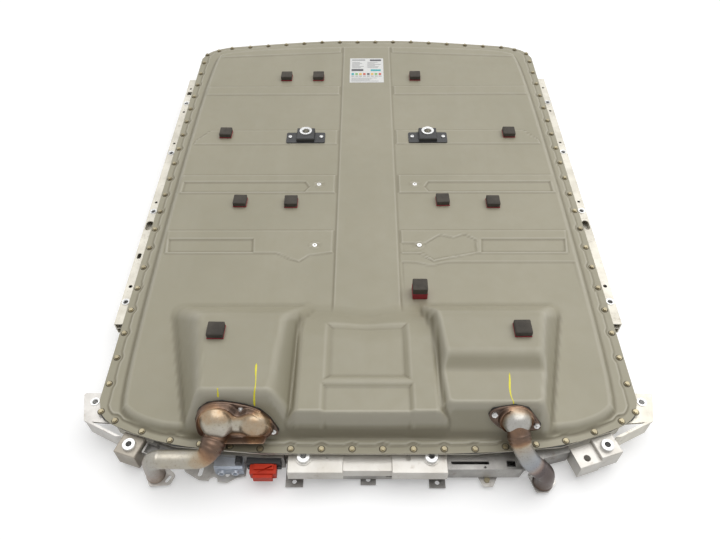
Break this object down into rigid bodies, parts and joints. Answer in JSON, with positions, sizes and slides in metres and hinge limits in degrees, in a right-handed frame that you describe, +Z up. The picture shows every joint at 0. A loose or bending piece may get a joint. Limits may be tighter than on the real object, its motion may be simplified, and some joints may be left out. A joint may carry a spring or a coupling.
{
  "type": "traction battery pack",
  "caption": "Flat traction battery pack with a pressed metal cover, two raised rear housings, bolted rim, side rails, rear mounting blocks, vent hoods and a power connector.",
  "frame": {"origin": "centre of the underside of the pack, at the middle of its overall length and width", "axes": "+X to the right of the pack seen from its rear end, +Y to the front of the vehicle, along the pack's long side, +Z up, from the floor plate to the cover"},
  "size_m": [1.5404, 2.06, 0.274],
  "materials": {
    "cover_paint": "satin olive grey e-coat on pressed steel",
    "rail_metal": "satin extruded",
    "machined_metal": "machined",
    "sheet_steel": "dull",
    "vent_steel": "heat tinted",
    "pipe_steel": "satin",
    "bolt_zinc": "zinc plated",
    "steel_ring": "turned",
    "black_plastic": "matt",
    "orange_plastic": "satin",
    "foam": "open foam",
    "tape": "matt",
    "gasket_rubber": "matt",
    "cell_plastic": "matt",
    "copper": "tinned copper"
  },
  "bodies": {
    "root": {"beam_tab": "sheet_steel", "beam_tab_bolt": "bolt_zinc", "block_rings": "steel_ring", "bracket_screws": "bolt_zinc", "busbars": "copper", "cell_modules_1": "cell_plastic", "cell_modules_2": "cell_plastic", "cell_modules_3": "cell_plastic", "cell_modules_4": "cell_plastic", "cell_modules_5": "cell_plastic", "cell_modules_6": "cell_plastic", "centre_block": "machined_metal", "centre_bracket": "sheet_steel", "connector_base": "black_plastic", "control_unit": "black_plastic", "coolant_pipes": "rail_metal", "cooling_plates": "rail_metal", "corner_bushes": "steel_ring", "cover_bolts": "bolt_zinc", "cover_gasket": "gasket_rubber", "cross_member_1": "rail_metal", "cross_member_2": "rail_metal", "cross_member_3": "rail_metal", "cross_member_4": "rail_metal", "cross_member_5": "rail_metal", "deck_screws": "bolt_zinc", "floor_plate": "rail_metal", "foam_pads": "foam", "junction_box": "black_plastic", "left_block_bracket": "sheet_steel", "left_corner_bracket": "rail_metal", "left_lift_bracket": "black_plastic", "left_mount_block": "machined_metal", "left_rear_sill": "sheet_steel", "left_side_rail": "rail_metal", "left_vent_hood": "vent_steel", "left_vent_pipe": "pipe_steel", "lift_sleeves": "steel_ring", "pad_tapes": "tape", "pipe_brackets": "pipe_steel", "port_casting": "machined_metal", "port_plate": "sheet_steel", "power_connector": "orange_plastic", "rail_bushes": "steel_ring", "right_corner_bracket": "rail_metal", "right_lift_bracket": "black_plastic", "right_mount_block": "machined_metal", "right_rear_beam": "sheet_steel", "right_side_rail": "rail_metal", "right_vent_hood": "vent_steel", "right_vent_pipe": "pipe_steel", "signal_connector": "black_plastic", "top_cover": "cover_paint", "tray_frame": "rail_metal", "upper_module_left": "cell_plastic", "upper_module_right": "cell_plastic", "upper_shelf": "sheet_steel", "vent_gaskets": "gasket_rubber", "vent_nuts": "bolt_zinc"}
  },
  "joints": []
}
